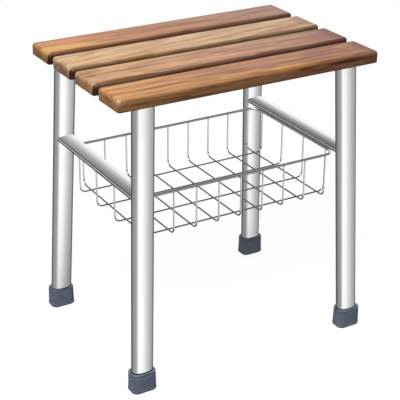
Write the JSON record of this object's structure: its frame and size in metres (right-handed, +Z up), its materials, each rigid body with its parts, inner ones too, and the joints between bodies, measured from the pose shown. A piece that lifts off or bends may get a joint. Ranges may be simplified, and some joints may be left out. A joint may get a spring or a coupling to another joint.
{
  "type": "shower stool",
  "caption": "Slatted teak shower stool on splayed flat-oval aluminium legs with rubber feet and a wire storage basket hung between the side crossbars.",
  "frame": {"origin": "middle of the footprint on the floor, under the centre of the seat", "axes": "+X to the stool's right along the slats, +Y to its back, +Z up"},
  "size_m": [0.422, 0.3096, 0.4485],
  "materials": {
    "teak_back": "oiled satin",
    "teak_mid_back": "oiled satin",
    "teak_mid_front": "oiled satin",
    "teak_front": "oiled satin",
    "leg_tube": "satin anodised",
    "rail_tube": "satin anodised",
    "foot_rubber": "matte moulded",
    "plug_plastic": "moulded",
    "screw_steel": "plain stainless",
    "basket_wire": "polished stainless wire"
  },
  "bodies": {
    "root": {"slat_back": "teak_back", "slat_mid_back": "teak_mid_back", "slat_mid_front": "teak_mid_front", "slat_front": "teak_front", "leg_back_left": "leg_tube", "leg_back_right": "leg_tube", "leg_front_left": "leg_tube", "leg_front_right": "leg_tube", "top_rail_left": "rail_tube", "top_rail_right": "rail_tube", "crossbar_left": "rail_tube", "crossbar_right": "rail_tube", "foot_back_left": "foot_rubber", "foot_back_right": "foot_rubber", "foot_front_left": "foot_rubber", "foot_front_right": "foot_rubber", "leg_top_plugs": "plug_plastic", "seat_screws": "screw_steel", "basket_rim": "basket_wire", "basket_long_wires": "basket_wire", "basket_cross_wires": "basket_wire", "basket_tabs": "basket_wire", "basket_screws": "screw_steel"}
  },
  "joints": []
}
